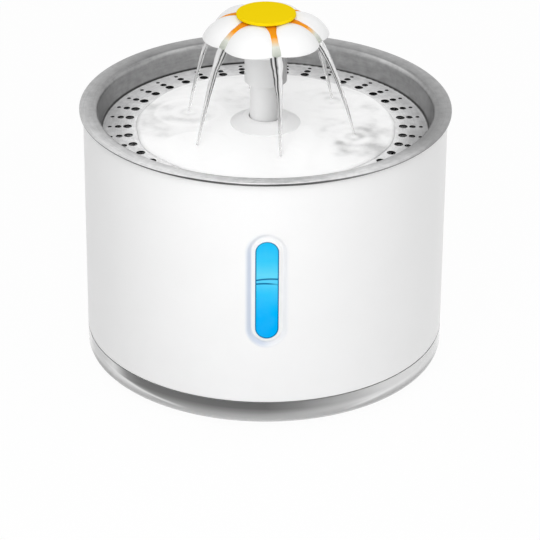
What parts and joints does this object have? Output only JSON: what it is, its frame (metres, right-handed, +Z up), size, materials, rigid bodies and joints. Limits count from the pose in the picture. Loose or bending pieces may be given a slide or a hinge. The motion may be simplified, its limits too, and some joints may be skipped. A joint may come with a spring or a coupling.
{
  "type": "pet water fountain",
  "caption": "Round pet water fountain: clear tank in a white sleeve with a blue level window, steel drinking tray and a six-petal flower spout over a submersible pump.",
  "frame": {"origin": "middle of the circle that the feet stand on, on the ground", "axes": "+Z up, -Y towards the level window, +Y towards the cable grommet, +X to the right seen from the front"},
  "size_m": [0.19, 0.19, 0.1874],
  "materials": {
    "clear_plastic": "clear, polished",
    "white_shell": "glossy white moulding",
    "window_blue": "clear blue, lit from behind",
    "steel": "brushed stainless sheet",
    "white_plastic": "white moulding",
    "petal_white": "bright white moulding",
    "yellow": "glossy yellow moulding",
    "rubber": "matte silicone rubber",
    "pump_plastic": "satin moulding",
    "resin": "cast resin",
    "lamination": "stacked steel sheets",
    "copper": "enamelled copper wire",
    "ferrite": "pressed ferrite",
    "ceramic": "ground ceramic",
    "fleece": "white filter fleece",
    "board": "circuit board",
    "led": "light chip"
  },
  "bodies": {
    "tank": {"water_tank": "clear_plastic", "outer_shell": "white_shell", "level_window": "window_blue", "cable_grommet": "rubber", "foot_pad_1": "rubber", "foot_pad_2": "rubber", "foot_pad_3": "rubber", "foot_pad_4": "rubber"},
    "pump": {"pump_housing": "pump_plastic", "stator_core": "lamination", "coil_bobbin": "white_plastic", "coil_winding": "copper", "potting_resin": "resin", "pump_gland": "rubber", "volute_cover": "pump_plastic", "shaft_bush_front": "rubber", "shaft_bush_rear": "rubber", "rotor_shaft": "ceramic", "spout_pipe": "white_plastic", "led_board": "board", "led_lens": "clear_plastic", "suction_cup_1": "rubber", "suction_cup_2": "rubber", "suction_cup_3": "rubber", "suction_cup_4": "rubber", "led_1": "led", "led_2": "led", "led_3": "led"},
    "intake": {"intake_cover": "pump_plastic"},
    "dial": {"flow_dial": "pump_plastic"},
    "rotor": {"impeller": "white_plastic", "rotor_magnet": "ferrite"},
    "basket": {"filter_basket": "white_plastic"},
    "filter": {"filter_frame": "white_plastic", "filter_pack_1": "fleece", "filter_pack_2": "fleece", "filter_pack_3": "fleece", "filter_pack_4": "fleece"},
    "tray": {"steel_tray": "steel", "tray_collar": "white_plastic"},
    "flower": {"flower_petals": "petal_white", "flower_stem": "white_plastic"},
    "cap": {"flower_cap": "yellow"}
  },
  "joints": [
    {"name": "pump_lift", "type": "slide", "parent": "tank", "child": "pump", "axis": [0, 0, 1], "range_m": [0, 0.14]},
    {"name": "cover_slide", "type": "slide", "parent": "pump", "child": "intake", "axis": [0, -1, 0], "range_m": [0, 0.03]},
    {"name": "dial_turn", "type": "hinge", "parent": "intake", "child": "dial", "pos_m": [-0.0085, -0.0201, 0.0378], "axis": [0, -1, 0], "range_deg": [0, 30]},
    {"name": "impeller_spin", "type": "hinge", "parent": "pump", "child": "rotor", "pos_m": [-0.0085, 0, 0.0378], "axis": [0, 1, 0], "continuous": true},
    {"name": "basket_lift", "type": "slide", "parent": "pump", "child": "basket", "axis": [0, 0, 1], "range_m": [0, 0.075]},
    {"name": "filter_lift", "type": "slide", "parent": "basket", "child": "filter", "axis": [0, 0, 1], "range_m": [0, 0.075]},
    {"name": "tray_lift", "type": "slide", "parent": "filter", "child": "tray", "axis": [0, 0, 1], "range_m": [0, 0.06]},
    {"name": "flower_lift", "type": "slide", "parent": "tray", "child": "flower", "axis": [0, 0, 1], "range_m": [0, 0.04]},
    {"name": "cap_lift", "type": "slide", "parent": "flower", "child": "cap", "axis": [0, 0, 1], "range_m": [0, 0.025]}
  ]
}
